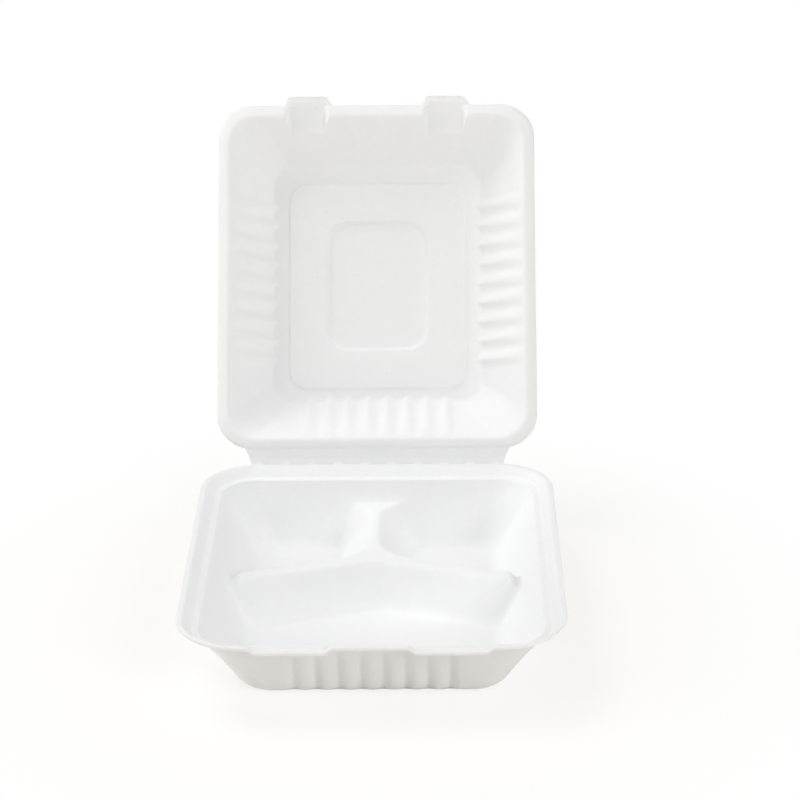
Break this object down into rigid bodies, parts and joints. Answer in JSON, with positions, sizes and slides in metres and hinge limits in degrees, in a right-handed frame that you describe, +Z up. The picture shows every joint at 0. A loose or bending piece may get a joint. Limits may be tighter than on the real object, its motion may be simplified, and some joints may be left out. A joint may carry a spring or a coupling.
{
  "type": "clamshell food container",
  "caption": "Moulded-fibre clamshell food box, open: tray with curved divider and fluted wall, hinged lid with locking tabs.",
  "frame": {"origin": "on the flat underside of the base, at the middle of its width and depth over the lip", "axes": "+X to the right seen from the front, +Y from the front to the hinge, +Z up"},
  "size_m": [0.202, 0.3309, 0.2335],
  "materials": {
    "pulp": "matt off-white moulded plant fibre with a fine felted grain"
  },
  "bodies": {
    "base": {"base": "pulp"},
    "lid": {"lid": "pulp"}
  },
  "joints": [
    {"name": "lid_fold", "type": "hinge", "parent": "base", "child": "lid", "pos_m": [0, 0.1105, 0.042], "axis": [1, 0, 0], "range_deg": [-59.6, 120.4]}
  ]
}
